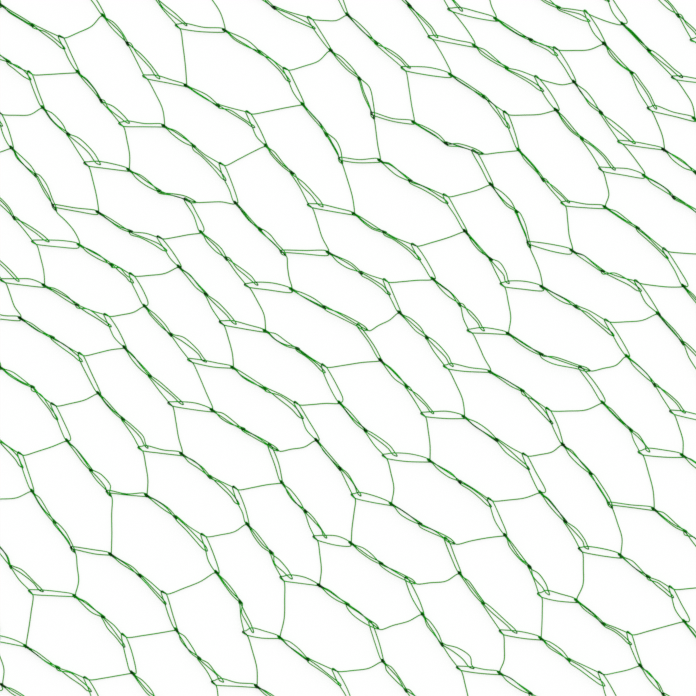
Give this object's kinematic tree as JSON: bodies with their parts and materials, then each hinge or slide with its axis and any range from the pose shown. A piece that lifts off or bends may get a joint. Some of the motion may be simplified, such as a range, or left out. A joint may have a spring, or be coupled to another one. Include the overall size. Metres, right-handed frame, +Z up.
{
  "type": "knitted bird netting piece",
  "caption": "Flat piece of knitted green monofilament bird netting: chain-stitched wales joined by single links into open hexagonal cells.",
  "frame": {"origin": "middle of the net's footprint, on the surface that it lies on", "axes": "+X along the wales, against the way they are knitted; +Y across them; +Z up, out of the net's face"},
  "size_m": [0.3076, 0.2863, 0.0009],
  "materials": {
    "monofilament": "satin, slightly translucent drawn polyethylene"
  },
  "bodies": {
    "root": {"yarn_01": "monofilament", "yarn_02": "monofilament", "yarn_03": "monofilament", "yarn_04": "monofilament", "yarn_05": "monofilament", "yarn_06": "monofilament", "yarn_07": "monofilament", "yarn_08": "monofilament", "yarn_09": "monofilament", "yarn_10": "monofilament", "yarn_11": "monofilament", "yarn_12": "monofilament", "yarn_13": "monofilament", "yarn_14": "monofilament", "yarn_15": "monofilament", "yarn_16": "monofilament", "yarn_17": "monofilament", "yarn_18": "monofilament", "yarn_19": "monofilament", "yarn_20": "monofilament", "yarn_21": "monofilament", "yarn_22": "monofilament", "yarn_23": "monofilament"}
  },
  "joints": []
}
